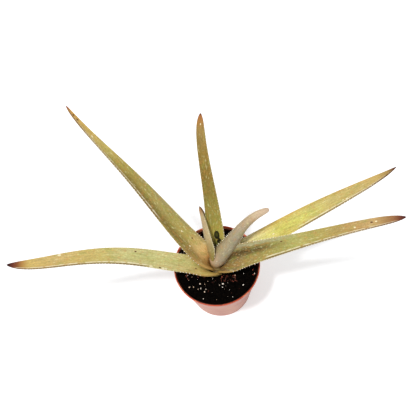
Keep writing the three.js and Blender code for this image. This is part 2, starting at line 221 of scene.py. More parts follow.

# One entry a leaf, from the outermost to the innermost. The sheath clasps the stem: how far its
# middle stands from the stem's axis, its own radius, the half angle that it wraps, the height of
# its foot and the length over which it opens out. The next lists are guide values from foot to
# tip: heading and rise of the midrib, roll about it, width over the margins, half angle of the
# channel, and flesh under the midrib. A higher keel thins the flesh sooner towards the margins. The
# pad fills the inside of the sheath, up to the next leaf, and the root is how far its foot reaches
# down between the other sheaths. The tip says how blunt the point is. The rest is its finish.
# Tones run from foot to tip, where they are withered. Bands are stripes on the face, a few of them
# painted shade or light: the middle and half width over it, the colour, the strength, and from
# where to where it fades. The seam is a pale line with a dried brown edge outside it: which margin,
# from where to where, and its strength.
# Teeth have a height, a step and how far they turn up. Speckle is how strongly the skin is dotted.
# Marks are spots of their own, a few of them painted shadow: place along the leaf, place across it,
# radius and colour.
LEAVES = {
    "leaf_left": {
        "sheath": (19.5, 16.5, 100, 84.4, 20),
        "length": 270,
        "heading": (193, 140, 203, 171),
        "rise": (28, 44, -19, 17),
        "roll": (25, 6, 4),
        "width": (24, 27, 18.5, 14),
        "channel": (28, 20),
        "flesh": (4.5, 3),
        "keel": 0.5,
        "pad": 3.6,
        "root": 0,
        "tip": (14, 0.7),
        "tones": ((0, "c0aa5c"), (0.08, "bca660"), (0.16, "c2b476"), (0.26, "c4bc80"),
                  (0.45, "bcb47a"), (0.56, "bcac64"), (0.66, "bea760"), (0.78, "c0a566"),
                  (0.9, "c4a960"), (0.932, "a87c40"), (0.952, "824a24"), (0.97, "6a3220"),
                  (0.987, "3a130d")),
        "bands": ((0.1, 0.5, "ab9a52", 0.25, 0.3, 0.6),
                  (-0.1, 0.6, "b4bc74", 0.35, 0.4, 0.6)),
        "seam": (1, 0.36, 0.95, 0.9),
        "teeth": (1.7, 4.4, 0.35),
        "speckle": 0.1,
        "marks": ((0.41, -0.62, 1.0, SCAR), (0.285, 0.88, 1.1, SCAR), (0.1, 0.4, 1, SCAR),
                  (0.33, 0.86, 1.6, FLECK), (0.27, 0.9, 1.5, FLECK), (0.255, 0.88, 1.2, FLECK),
                  (0.76, -0.8, 1.5, FLECK)),
    },
    "leaf_upper_right": {
        "sheath": (18.5, 16.5, 80, 84.4, 20),
        "length": 260,
        "heading": (5, 19, 3, -10),
        "rise": (17, 20, 22, 59),
        "roll": (-22, -11, 6),
        "width": (22, 31.5, 24, 5.5),
        "channel": (30, 20),
        "flesh": (4.5, 3),
        "keel": 0.5,
        "pad": 1.5,
        "root": 0,
        "tip": (14, 0.7),
        "tones": ((0, "b49c64"), (0.1, "eadeaa"), (0.2, "eadda0"), (0.35, "ccbd60"),
                  (0.5, "c2b766"), (0.62, "c0b06a"), (0.75, "b8a565"), (0.88, "c0a564"),
                  (0.95, "a2844a"), (0.975, "6e4420"), (0.99, "562a1a")),
        "bands": ((0.95, 0.4, "c89c50", 0.5, 0.8, 0.95),
                  (0.0, 0.6, "c0c850", 0.4, 0.5, 0.65),
                  # This pale band on the upper margin near the foot is painted light, where that
                  # margin turns away from the light.
                  (0.95, 0.5, "efe6b4", 0.95, 0.16, 0.26)),
        "seam": (-1, 0.46, 0.97, 0.85),
        "teeth": (1.7, 4.4, 0.35),
        "speckle": 0.12,
        "marks": ((0.72, -0.6, 1.0, FLECK), (0.7, -0.5, 0.8, FLECK), (0.31, -0.1, 1.0, FLECK)),
    },
    "leaf_lower_right": {
        "sheath": (16.5, 14.2, 100, 84.4, 22),
        "length": 249,
        "heading": (-13, -10, -6, -17),
        "rise": (35, 25, 33, 28),
        "roll": (-42, -12, -11),
        "width": (41, 24, 10, 12),
        "channel": (35, 25),
        "flesh": (4.5, 3),
        "keel": 0.5,
        "pad": 8,
        "root": 0,
        "tip": (14, 0.7),
        "tones": ((0, "5a4020"), (0.1, "786440"), (0.2, "98884e"), (0.32, "9a904c"),
                  (0.45, "a4a05a"), (0.6, "a69852"), (0.75, "aa8c54"), (0.86, "ba9a64"),
                  (0.915, "9c784a"), (0.95, "8c5e3a"), (0.973, "6a3622"), (0.99, "4a1c16")),
        "bands": ((0.8, 0.35, "aeb094", 0.5, 0.35, 0.55),
                  (-0.5, 0.5, "94743a", 0.55, 0.12, 0.4),
                  # This dark band towards the foot is painted shade along the leaf.
                  (0.22, 0.62, "4c3a14", 0.95, 0.22, 0.48)),
        "seam": (-1, 0.3, 0.95, 0.8),
        "teeth": (1.7, 4.4, 0.35),
        "speckle": 0.3,
        "marks": ((0.395, 0.42, 1.0, SCAR), (0.85, 0.2, 1.0, SCAR), (0.87, 0.2, 0.9, FLECK),
                  (0.77, -0.1, 0.9, FLECK)),
    },
    "leaf_upper_left": {
        "sheath": (14, 11.8, 95, 86, 22),
        "length": 290,
        "heading": (160, 100, 142, 124),
        "rise": (64, 33, 9, 45),
        "roll": (28, -1, -26),
        "width": (34, 27.5, 12.5, 4.5),
        "channel": (30, 20),
        "flesh": (5, 3),
        "keel": 0.5,
        "pad": 3.5,
        "root": 0,
        "tip": (20, 0.6),
        "tones": ((0, "ecb868"), (0.08, "ecc07a"), (0.14, "caac6c"), (0.22, "a4944e"),
                  (0.4, "988b4e"), (0.55, "968640"), (0.66, "9e8d44"), (0.76, "b6a45c"),
                  (0.9, "c4a45a"), (0.97, "c8984e"), (0.99, "965232")),
        "bands": ((0.6, 0.75, "6a521c", 0.7, 0.45, 0.8),
                  (-0.9, 0.35, "8c8058", 0.5, 0.5, 0.65)),
        "seam": (1, 0.38, 0.97, 0.75),
        "teeth": (1.7, 4.4, 0.35),
        "speckle": 0.25,
        "marks": ((0.925, 0.0, 1.1, SCAR), (0.95, 0.1, 1.0, SCAR), (0.19, -0.35, 1.0, SCAR),
                  (0.25, -0.1, 0.9, FLECK), (0.17, 0.3, 0.9, FLECK), (0.83, 0.2, 1.1, FLECK)),
    },
    "leaf_back": {
        "sheath": (12, 10.5, 95, 87, 22),
        "length": 206,
        "heading": (79, 85, 102, 74),
        "rise": (46, 60, 58, 22),
        "roll": (14, 7, 2),
        "width": (31, 21, 11, 12.5),
        "channel": (30, 20),
        "flesh": (4.5, 3),
        "keel": 0.5,
        "pad": 1.4,
        "root": 0,
        "tip": (14, 0.7),
        "tones": ((0, "86703e"), (0.12, "767030"), (0.2, "b0a24a"), (0.3, "92883e"),
                  (0.45, "867632"), (0.6, "7e6828"), (0.75, "8a7232"), (0.9, "957a40"),
                  (0.95, "a07238"), (0.98, "a06430"), (0.995, "5a2b17")),
        # This dark band at the foot is painted shade inside the crown.
        "bands": ((0.0, 0.8, "3e3a14", 0.6, 0.1, 0.2),),
        "seam": None,
        "teeth": (1.6, 4.4, 0.35),
        "speckle": 0.1,
        # The dark oval near the foot, its darker edge and the dark bits below it are painted shadow
        # at the foot of the channel.
        "marks": ((0.19, -0.14, 4.5, PAINTED_SHADOW_EDGE), (0.193, -0.12, 2.3, PAINTED_SHADOW),
                  (0.157, -0.36, 2.0, PAINTED_SHADOW_EDGE), (0.142, -0.2, 1.9, "0c0903"),
                  (0.134, -0.42, 1.5, PAINTED_SHADOW_BIT), (0.094, -0.38, 1.6, PAINTED_SHADOW_BIT),
                  (0.155, -0.52, 1.1, PAINTED_SHADOW_BIT), (0.128, -0.66, 1.4, "bd9a26"),
                  (0.15, -0.74, 1.2, "c2a63a"), (0.93, -0.1, 0.8, FLECK)),
    },
    "leaf_inner_right": {
        "sheath": (7.5, 6.8, 100, 91, 13),
        "length": 128,
        "heading": (223, 188, 195, 191),
        "rise": (198, 92, 100, 188),
        "roll": (-21, -30, -37),
        "width": (32, 20, 10, 8.5),
        "channel": (50, 45),
        "flesh": (6, 4.5),
        "keel": 0.9,
        "pad": 0,
        "root": 5,
        "tip": (16, 0.42),
        "tones": ((0, "a8843e"), (0.035, "c09a60"), (0.07, "b69678"), (0.2, "9e8a68"),
                  (0.35, "a29474"), (0.6, "a4947c"),
                  (0.8, "b09a7a"), (0.92, "ccb496"), (1, "c9ae96")),
        "bands": ((0.35, 0.6, "949684", 0.4, 0.45, 0.8),),
        "seam": None,
        "teeth": (3.2, 3.4, -0.05),
        "speckle": 0.4,
        "marks": (),
    },
    "leaf_inner_left": {
        "sheath": (5.5, 5.5, 85, 92, 13),
        "length": 85,
        "heading": (133, 81, 79, 105),
        "rise": (35, 48, 52, 48),
        "roll": (-58, -115, -66),
        "width": (31, 34, 19, 9),
        "channel": (70, 62),
        "flesh": (3, 2.2),
        "keel": 0.5,
        "pad": 0,
        "root": 5,
        "tip": (14, 0.7),
        "tones": ((0, "b08648"), (0.2, "927c4c"), (0.5, "b09e74"), (0.85, "b09874"),
                  (0.96, "9c7448"), (1, "6e4c38")),
        "bands": ((0.85, 0.5, "7c7a34", 0.5, 0.2, 0.5),),
        "seam": None,
        "teeth": (1.5, 3.4, 0.2),
        "speckle": 0.25,
        "marks": (),
    },
}

# ------------------------------------------------------------------ shader maths


def tone(code):
    """A colour code as the linear colour that a shader takes."""
    parts = [int(code[i:i + 2], 16) / 255 for i in (0, 2, 4)]
    return (*(p / 12.92 if p <= 0.04045 else ((p + 0.055) / 1.055) ** 2.4 for p in parts), 1)


class Shade:
    """A socket of a node tree, so that shader maths is written as plain sums."""

    def __init__(self, tree, socket=None):
        self.tree = tree
        self.socket = socket

    def add(self, kind, settings=None, sockets=None, output=0):
        """Any node: its settings come first, then the values or links of its sockets."""
        node = self.tree.nodes.new("ShaderNode" + kind)
        for name, value in (settings or {}).items():
            if name == "stops":
                elements = node.color_ramp.elements
                elements.remove(elements[1])
                elements[0].position, elements[0].color = value[0]
                for place, colour in value[1:]:
                    elements.new(place).color = colour
            else:
                setattr(node, name, value)
        for name, value in (sockets or {}).items():
            if isinstance(value, Shade):
                self.tree.links.new(value.socket, node.inputs[name])
            else:
                node.inputs[name].default_value = value
        return Shade(self.tree, node.outputs[output])

    def math(self, operation, first, second=0.0):
        return self.add("Math", {"operation": operation}, {0: first, 1: second})

    def __add__(self, other):
        return self.math("ADD", self, other)

    __radd__ = __add__

    def __mul__(self, other):
        return self.math("MULTIPLY", self, other)

    __rmul__ = __mul__

    def __sub__(self, other):
        return self.math("SUBTRACT", self, other)

    def __rsub__(self, other):
        return self.math("SUBTRACT", other, self)

    def __abs__(self):
        return self.math("ABSOLUTE", self)

    def ease(self, low, high):
        """0 below low and 1 above high, with a smooth step between."""
        return self.add("MapRange", {"interpolation_type": "SMOOTHSTEP"},
                        {"Value": self, "From Min": low, "From Max": high})

    def bell(self, middle, reach):
        """1 at the middle, down to 0 at the reach on either side."""
        return 1 - abs(self - middle).ease(0, reach)

    def place(self):
        """The place on the object, in metres."""
        return self.add("TexCoord", output="Object")

    def attribute(self, name):
        """A vector that the mesh carries at each point."""
        return self.add("Attribute", {"attribute_name": name}, output="Vector")

    def axis(self, letter):
        return self.add("SeparateXYZ", None, {0: self}, output=letter)

    def vector(self, operation, other):
        return self.add("VectorMath", {"operation": operation}, {0: self, 1: other})

    def reach(self):
        """The length of this vector."""
        return self.add("VectorMath", {"operation": "LENGTH"}, {0: self}, output="Value")

    def scaled(self, amount):
        """This colour made brighter or darker."""
        return self.add("VectorMath", {"operation": "SCALE"}, {0: self, "Scale": amount})

    def ramp(self, stops):
        return self.add("ValToRGB", {"stops": [(place, tone(code)) for place, code in stops]},
                        {"Fac": self})

    def grain(self, scale, detail=2.0, roughness=0.5, stretch=(1, 1, 1)):
        """Noise about 0.5 over this place, finer along an axis that is stretched more."""
        place = self.add("Mapping", None, {"Vector": self, "Scale": stretch})
        return self.add("TexNoise", None, {"Vector": place, "Scale": scale, "Detail": detail,
                                           "Roughness": roughness})


def lay(colour, under, mask):
    """One colour over another. A colour is a code or a socket."""
    colour, under = (tone(c) if isinstance(c, str) else c for c in (colour, under))
    return mask.add("Mix", {"data_type": "RGBA"}, {0: mask, 6: under, 7: colour}, output=2)


def painted(name, paint, **constants):
    """A material whose colour, roughness and surface height come from the paint function."""
    material = bpy.data.materials.new(name)
    material.use_nodes = True
    tree = material.node_tree
    skin = tree.nodes["Principled BSDF"]
    for socket, value in constants.items():
        skin.inputs[socket.replace("_", " ")].default_value = value
    colour, roughness, height = paint(Shade(tree))
    tree.links.new(colour.socket, skin.inputs["Base Color"])
    tree.links.new(roughness.socket, skin.inputs["Roughness"])
    relief = height.add("Bump", None, {"Height": height, "Strength": 1.0, "Distance": MM})
    tree.links.new(relief.socket, skin.inputs["Normal"])
    return material


# ------------------------------------------------------------------ modelling by hand


def pick(*pieces):
    """Select these pieces alone, with the first one active."""
    bpy.ops.object.select_all(action="DESELECT")
    for piece in pieces:
        piece.select_set(True)
    bpy.context.view_layer.objects.active = pieces[0]


def open_mesh():
    """Open the active piece's mesh, all selected."""
    bpy.ops.object.mode_set(mode="EDIT")
    bpy.ops.mesh.select_all(action="SELECT")


def close_mesh():
    bpy.ops.object.mode_set(mode="OBJECT")


def start_piece(name, primitive, **placing):
    """Add a primitive with nothing else selected, and give it its name."""
    bpy.ops.object.select_all(action="DESELECT")
    primitive(**placing)
    piece = bpy.context.active_object
    piece.name = piece.data.name = name
    return piece


def settle(piece):
    """Move the piece's place into its mesh."""
    pick(piece)
    bpy.ops.object.transform_apply(location=True, rotation=True, scale=True)


def turned_piece(name, profile, steps, axis=Vector((0, 0, 0))):
    """A closed turned shape: a disc is drawn out through the radii and heights of a profile."""
    radius, height = profile[0]
    piece = start_piece(name, bpy.ops.mesh.primitive_circle_add, vertices=steps,
                        radius=radius * MM, fill_type="NGON",
                        location=(axis.x * MM, axis.y * MM, height * MM))
    open_mesh()
    for next_radius, next_height in profile[1:]:
        bpy.ops.mesh.extrude_region_move(
            TRANSFORM_OT_translate={"value": (0, 0, (next_height - height) * MM)})
        ratio = next_radius / radius
        bpy.ops.transform.resize(value=(ratio, ratio, 1),
                                 center_override=(axis.x * MM, axis.y * MM, next_height * MM))
        radius, height = next_radius, next_height
    bpy.ops.mesh.select_all(action="SELECT")
    bpy.ops.mesh.normals_make_consistent(inside=False)
    close_mesh()
    settle(piece)
    return piece


def cut_away(piece, cutter):
    """Take the cutter out of the piece, and delete the cutter."""
    pick(piece)
    cut = piece.modifiers.new("cut", "BOOLEAN")
    cut.operation = "DIFFERENCE"
    cut.solver = "EXACT"
    cut.object = cutter
    bpy.ops.object.modifier_apply(modifier=cut.name)
    bpy.data.objects.remove(cutter)


def smooth(piece, angle):
    """Shade the piece smooth, but for edges sharper than the angle."""
    pick(piece)
    bpy.ops.object.shade_smooth_by_angle(angle=math.radians(angle))


def copied(template, places):
    """A copy of the template, each with its own mesh, at every place."""
    copies = []
    for place in places:
        copy = template.copy()
        copy.data = template.data.copy()
        copy.data.transform(place)
        bpy.context.collection.objects.link(copy)
        copies.append(copy)
    return copies


def joined(name, pieces):
    """The pieces as one, which keeps the first one's slots first."""
    pick(*pieces)
    bpy.ops.object.join()
    pieces[0].name = pieces[0].data.name = name
    return pieces[0]


def belongs(piece, slot, *nodes):
    """Every piece rides on the one body, and stands for the nodes that it replaces."""
    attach(piece, "root")
    if nodes:
        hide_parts(*nodes)


# ------------------------------------------------------------------ pot


def wall_outside(height):
    lean = (POT_SHOULDER_RADIUS - POT_BASE_RADIUS) / POT_SHOULDER_HEIGHT
    return POT_BASE_RADIUS + lean * height


def wall_inside(height):
    return wall_outside(height) - POT_WALL


def pot_paint(start):
    """Moulded clay-coloured plastic with painted shade on its right, a redder lip with grime and
    painted highlights, and blackened inside.
    """
    place = start.place()
    across, depth, height = (place.axis(letter) for letter in "XYZ")
    radius = place.vector("MULTIPLY", (1, 1, 0)).reach()
    rings = place.grain(60, 3, 0.6, (0.25, 0.25, 8))
    runs = place.grain(45, 3, 0.6, (7, 7, 0.3))
    cloud = place.grain(28)
    flow = place.grain(900)

    colour = lay(CLAY_PALE, CLAY, rings.ease(0.3, 0.7) * 0.3 + cloud.ease(0.35, 0.7) * 0.5)
    # Painted shade: the clay darkens in uneven runs towards the right side, which is turned away
    # from the light.
    painted_shade = across + (runs - 0.5) * (20 * MM)
    painted_shade = painted_shade.ease(PAINTED_SHADE_SIDE[0] * MM, PAINTED_SHADE_SIDE[1] * MM)
    colour = lay(CLAY_SHADE, colour, painted_shade * (runs.ease(0.3, 0.7) * 0.12 + 0.56))
    collar = height.ease((POT_SHOULDER_HEIGHT - 1.5) * MM, POT_SHOULDER_HEIGHT * MM)
    colour = lay(COLLAR_RED, colour, collar * 0.3)

    lip = height + (cloud - 0.5) * (1.5 * MM)
    lip = lip.ease((POT_HEIGHT - LIP_COLOUR[0]) * MM, (POT_HEIGHT - LIP_COLOUR[1]) * MM)
    colour = lay(LIP_ORANGE, colour, lip * 0.9)
    # Painted highlight: paler orange patches over the lip.
    colour = lay(LIP_HIGHLIGHT, colour, lip * place.grain(110).ease(0.48, 0.6) * 0.55)
    colour = lay(LIP_GRIME, colour, lip * place.grain(300).ease(0.55, 0.66) * 0.5)

    # Nearly black inside the wall, from above the soil up under the lip, ragged at its edge and
    # clear at the back.
    behind = depth.ease(BACK[0] * MM, BACK[1] * MM)
    on_lip = height.ease((INSIDE_DARK_TOP - 0.5) * MM, (INSIDE_DARK_TOP + 0.5) * MM)
    ragged = radius + (cloud - 0.5) * MM + behind * (0.8 * MM) - on_lip * (1.2 * MM)
    darkened = height.ease((INSIDE_DARK_FOOT - 0.5) * MM, (INSIDE_DARK_FOOT + 0.5) * MM)
    darkened = darkened * (1 - ragged.ease((INSIDE_DARK_RADIUS - 0.3) * MM, INSIDE_DARK_RADIUS * MM))
    clean = height + (cloud - 0.5) * (5 * MM)
    clean = clean.ease((INSIDE_DARK_TOP - 0.6) * MM, (INSIDE_DARK_TOP + 0.4) * MM) * behind
    colour = lay(INSIDE_DARK, colour, darkened * (1 - clean) * 0.94)
    return colour, rings * 0.15 + 0.3, rings * 0.1 + flow * 0.03


def make_pot():
    lip_middle = POT_LIP_RADIUS - POT_LIP_WIDTH / 2
    lip_round = [
        (lip_middle + POT_LIP_WIDTH / 2 * math.cos(math.radians(turn)),
         POT_HEIGHT - POT_LIP_DEPTH + POT_LIP_DEPTH * math.sin(math.radians(turn)))
        for turn in range(-25, 206, 23)
    ]
    foot_round = [
        (wall_outside(POT_FOOT_ROUND) - POT_FOOT_ROUND * (1 - math.sin(math.radians(turn))),
         POT_FOOT_ROUND * (1 - math.cos(math.radians(turn))))
        for turn in range(0, 91, 15)
    ]
    outside, inside = wall_outside(POT_SHOULDER_HEIGHT), wall_inside(POT_SHOULDER_HEIGHT)
    profile = [
        *foot_round,
        *((wall_outside(height), height) for height in WALL_RINGS),
        *((outside + out, POT_SHOULDER_HEIGHT + up) for out, up in SHOULDER_RINGS),
        *((POT_COLLAR_RADIUS + out, POT_SHOULDER_HEIGHT + up) for out, up in COLLAR_RINGS),
        (POT_COLLAR_RADIUS - COLLAR_DRAFT, POT_HEIGHT - 2 * POT_LIP_DEPTH),
        *lip_round,
        (inside + LIP_STEP_INSIDE, POT_HEIGHT - 2.4 * POT_LIP_DEPTH),
        *((inside + out, POT_SHOULDER_HEIGHT + up) for out, up in SHOULDER_RINGS_INSIDE),
        (wall_inside(WALL_RING_INSIDE), WALL_RING_INSIDE),
        (wall_inside(2 * POT_FLOOR), 2 * POT_FLOOR),
        (wall_inside(POT_FLOOR) - POT_FOOT_ROUND, POT_FLOOR),
    ]
    pot = turned_piece("nursery_pot", profile, POT_STEPS)
    drains = []
    for i in range(DRAIN_COUNT):
        turn = 2 * math.pi * i / DRAIN_COUNT
        drains.append(start_piece(
            "drain", bpy.ops.mesh.primitive_cylinder_add, vertices=32, radius=DRAIN_RADIUS * MM,
            depth=4 * POT_FLOOR * MM,
            location=(DRAIN_RING_RADIUS * MM * math.cos(turn),
                      DRAIN_RING_RADIUS * MM * math.sin(turn), 0)))
        settle(drains[-1])
    cut_away(pot, joined("drains", drains))
    smooth(pot, 35)
    pot.data.materials.append(painted("pot_terracotta_plastic", pot_paint, IOR=1.47,
                                      Specular_IOR_Level=0.2))
    belongs(pot, "pot_plastic", "pot")


# ------------------------------------------------------------------ soil


def step(value, low, high):
    """0 below low and 1 above high, with a smooth step between."""
    share = min(max((value - low) / (high - low), 0), 1)
    return share * share * (3 - 2 * share)


def off_stem(x, y):
    return math.hypot(x - STEM_AXIS.x, y - STEM_AXIS.y)


def soil_height(x, y):
    """The lumpy lie of the soil, flat under the crown and banked towards the wall."""
    lumpy = step(off_stem(x, y), SOIL_FLAT_RADIUS, 1.5 * SOIL_FLAT_RADIUS)
    u, v = x / SOIL_LUMP_SIZE, y / SOIL_LUMP_SIZE
    lumps = SOIL_LUMP_HEIGHT * lumpy * (math.sin(u) * math.cos(v) + math.sin(2 * v - u) / 2)
    return SOIL_TOP + lumps + SOIL_BANK * step(math.hypot(x, y), *SOIL_BANK_REACH)


def crumble(x, y):
    """Small clods and crumbs on the soil."""
    clods = noise.turbulence(Vector((x, y, 7)) / CLOD_SIZE, 3, False)
    crumbs = noise.noise(Vector((x, y, 3)) / CRUMB_SIZE)
    return CLOD_HEIGHT * (clods - CLOD_SUNK) + CRUMB_HEIGHT * crumbs


def soil_paint(start):
    """Moist black peat with a few brown fibres."""
    place = start.place()
    clods = place.grain(420, 4, 0.65)
    peat = place.grain(1500, 3, 0.6)
    colour = lay(SOIL_BROWN, SOIL_BLACK, clods.ease(0.4, 0.62) * 0.9)
    colour = lay(SOIL_FIBRE, colour, peat.ease(0.64, 0.74) * 0.45)
    return colour, clods * 0.2 + 0.78, clods * 0.9 + peat * 0.4


def make_soil():
    bottom = POT_FLOOR + CLEARANCE
    lowest_edge = SOIL_TOP - SOIL_EDGE_DROP - 2 * SOIL_LUMP_HEIGHT
    top_radius = wall_inside(lowest_edge) - CLEARANCE
    profile = [(wall_inside(bottom) - POT_FOOT_ROUND - CLEARANCE, bottom),
               (top_radius, SOIL_TOP - SOIL_EDGE_DROP)]
    profile += [(top_radius * (1 - ring / SOIL_RINGS), SOIL_TOP) for ring in range(1, SOIL_RINGS)]
    soil = turned_piece("potting_soil", profile, SOIL_STEPS)
    for corner in soil.data.vertices:
        if corner.co.z > (SOIL_TOP - 1.5 * SOIL_EDGE_DROP) * MM:
            x, y = corner.co.x / MM, corner.co.y / MM
            edge = math.hypot(x, y) > top_radius - 0.1
            loose = min(max((off_stem(x, y) - STEM_RADIUS - FIRM_RING) / FIRM_FADE, 0), 1)
            height = soil_height(x, y) + loose * crumble(x, y)
            corner.co.z = (height - SOIL_EDGE_DROP * edge) * MM
            if edge:
                corner.co.x *= SOIL_RIM / top_radius
                corner.co.y *= SOIL_RIM / top_radius
    hole = turned_piece("stem_hole", [
        (STEM_RADIUS + CLEARANCE, STEM_BOTTOM - CLEARANCE),
        (STEM_RADIUS + CLEARANCE, POT_HEIGHT),
    ], 48, STEM_AXIS)
    cut_away(soil, hole)
    smooth(soil, 60)
    soil.data.materials.append(painted("peat_soil", soil_paint, Specular_IOR_Level=0.03))
    belongs(soil, "potting_soil", "soil")


# ------------------------------------------------------------------ loose bits on the soil


def camera_turn():
    """How the camera is turned, so that it sees the plant as the photograph does."""
    ahead = Vector((0, math.cos(CAMERA_PITCH), -math.sin(CAMERA_PITCH)))
    level = Vector((1, 0, 0))
    above = level.cross(ahead)
    right = level * math.cos(CAMERA_ROLL) + above * math.sin(CAMERA_ROLL)
    up = above * math.cos(CAMERA_ROLL) - level * math.sin(CAMERA_ROLL)
    return Matrix((right, up, -ahead)).transposed()


def soil_under(column, row):
    """Where the soil lies under a pixel of the photograph."""
    ray = camera_turn() @ Vector(((column - PHOTO_PIXELS / 2) / FOCAL_PIXELS,
                                  (PHOTO_PIXELS / 2 - row) / FOCAL_PIXELS, -1))
    height = SOIL_TOP
    for _ in range(6):
        place = (CAMERA_PLACE + ray * ((height * MM - CAMERA_PLACE.z) / ray.z)) / MM
        height = soil_height(place.x, place.y) + crumble(place.x, place.y)
    return place.x, place.y


def strewn(count, sizes, seed, front=SOIL_RIM):
    """Seeded places on the soil and their sizes, no nearer to the front than a given depth."""
    chance = random.Random(seed)
    bits = []
    while len(bits) < count:
        radius = LITTER_RADIUS * math.sqrt(chance.random())
        turn = chance.uniform(0, 2 * math.pi)
        x, y = radius * math.cos(turn), radius * math.sin(turn)
        if off_stem(x, y) > CROWN_RADIUS and y > -front:
            bits.append((x, y, chance.uniform(*sizes) * chance.uniform(0.7, 1)))
    return bits


def lying(bits, seed, flatness):
    """How each bit lies on the soil, turned by chance."""
    chance = random.Random(seed)
    places = []
    for x, y, size in bits:
        height = soil_height(x, y) + crumble(x, y) + BIT_RISE * size
        tilt = Euler((chance.uniform(-flatness, flatness), chance.uniform(-flatness, flatness),
                      chance.uniform(0, 2 * math.pi)))
        places.append(Matrix.Translation(Vector((x, y, height)) * MM)
                      @ tilt.to_matrix().to_4x4() @ Matrix.Scale(size * MM, 4))
    return places


def make_grains(name, bits, shape, roughness, seed, material, flatness=3.0, detail=1):
    """Loose bits on the soil: a small stone is roughed out once and copied."""
    grain = start_piece(name, bpy.ops.mesh.primitive_ico_sphere_add, subdivisions=detail,
                        radius=0.5, location=(0, 0, 0))
    chance = random.Random(seed)
    for corner in grain.data.vertices:
        corner.co *= 1 + chance.uniform(-roughness, roughness)
        corner.co = Vector(part * scale for part, scale in zip(corner.co, shape))
    copies = copied(grain, lying(bits, seed, flatness))
    bpy.data.objects.remove(grain)
    grains = joined(name, copies)
    smooth(grains, 25)
    grains.data.materials.append(material)
    belongs(grains, "potting_soil")


def perlite_paint(start):
    """White to tan grains with small pits."""
    place = start.place()
    tint = place.grain(160)
    pits = place.grain(1800, 2, 0.6)
    colour = lay(PERLITE_WHITE, PERLITE_TAN, tint.ease(0.4, 0.6))
    colour = lay(PERLITE_PIT, colour, pits.ease(0.62, 0.8) * 0.4)
    return colour, pits * 0.1 + 0.8, pits * 0.3


def bark_paint(start):
    """Red-brown bark with paler fibres."""
    place = start.place()
    tint = place.grain(120)
    fibre = place.grain(2200, 3, 0.6)
    colour = lay(BARK_RED, BARK_DARK, tint.ease(0.35, 0.65))
    colour = lay(BARK_FIBRE, colour, fibre.ease(0.55, 0.8) * 0.5)
    return colour, fibre * 0.1 + 0.75, fibre * 0.3


def clod_paint(start):
    """Nearly black peat."""
    place = start.place()
    tint = place.grain(200)
    peat = place.grain(1700, 3, 0.6)
    colour = lay(CLOD_BROWN, CLOD_BLACK, tint.ease(0.4, 0.7))
    colour = lay(CLOD_FIBRE, colour, peat.ease(0.6, 0.8) * 0.4)
    return colour, peat * 0.1 + 0.8, peat * 0.5


def make_loose_bits():
    perlite = painted("perlite", perlite_paint, Specular_IOR_Level=0.3)
    bark = painted("bark", bark_paint, Specular_IOR_Level=0.3)
    clods = painted("peat_clods", clod_paint, Specular_IOR_Level=0.03)

    grains = [(*soil_under(column, row), size) for column, row, size in PERLITE_SEEN]
    grains += strewn(46, (1.2, 2.6), 11, FRONT_SHOWN) + strewn(26, (0.7, 1.2), 12)
    make_grains("perlite_grains", grains, (0.9, 0.58, 0.5), 0.16, 11, perlite, detail=2)

    chips = [(*soil_under(column, row), size) for column, row, size in BARK_SEEN]
    chips += strewn(34, (3.0, 6.0), 23, FRONT_SHOWN) + strewn(12, (1.5, 3.0), 24)
    make_grains("bark_chips", chips, (1, 0.32, 0.16), 0.16, 23, bark, flatness=0.35)

    chance = random.Random(5)
    left, right, top, bottom = BARK_PATCH
    fibres = [(*soil_under(chance.uniform(left, right), chance.uniform(top, bottom)),
               chance.uniform(1.8, 4.4)) for _ in range(46)]
    fibres += strewn(30, (5.0, 9.0), 31, FRONT_SHOWN)
    make_grains("bark_fibres", fibres, (1, 0.16, 0.1), 0.12, 31, bark, flatness=0.25)

    make_grains("peat_clods", strewn(420, (1.6, 3.8), 47), (1, 0.9, 0.75), 0.2, 47, clods)


# ------------------------------------------------------------------ stem


def stem_paint(start):
    """Tan skin, ringed by the scars of old leaves."""
    rings = start.place().grain(30, 3, 0.6, (1, 1, 18))
    colour = lay(STEM_TAN, STEM_BROWN, rings.ease(0.35, 0.65))
    return colour, rings * 0.2 + 0.55, rings * 0.4


def make_stem():
    profile = [(STEM_ROOT_RADIUS - 1, STEM_BOTTOM), (STEM_ROOT_RADIUS, STEM_BOTTOM + 1),
               (STEM_RADIUS, STEM_BOTTOM + STEM_ROOT_TAPER),
               (STEM_RADIUS, SOIL_TOP - STEM_SCAR_BELOW)]
    for i in range(STEM_SCARS + 1):
        height = SOIL_TOP + (STEM_TOP - SOIL_TOP) * i / STEM_SCARS
        radius = STEM_RADIUS + (STEM_TIP_RADIUS - STEM_RADIUS) * i / STEM_SCARS
        profile.append((radius - STEM_SCAR_LIP, height - STEM_SCAR_WIDTH))
        profile.append((radius - STEM_SCAR_DEPTH, height))
    stem = turned_piece("stem_core", profile, 64, STEM_AXIS)
    smooth(stem, 50)
    stem.data.materials.append(painted("stem_skin", stem_paint))
    belongs(stem, "stem_tissue", "stem")


# ------------------------------------------------------------------ leaves


def guided(values, t):
    """A smooth value at t from guide values, as on a Bezier curve."""
    row = list(values)
    while len(row) > 1:
        row = [a + (b - a) * t for a, b in zip(row, row[1:])]
    return row[0]


def between(first, second, share):
    return first + (second - first) * share


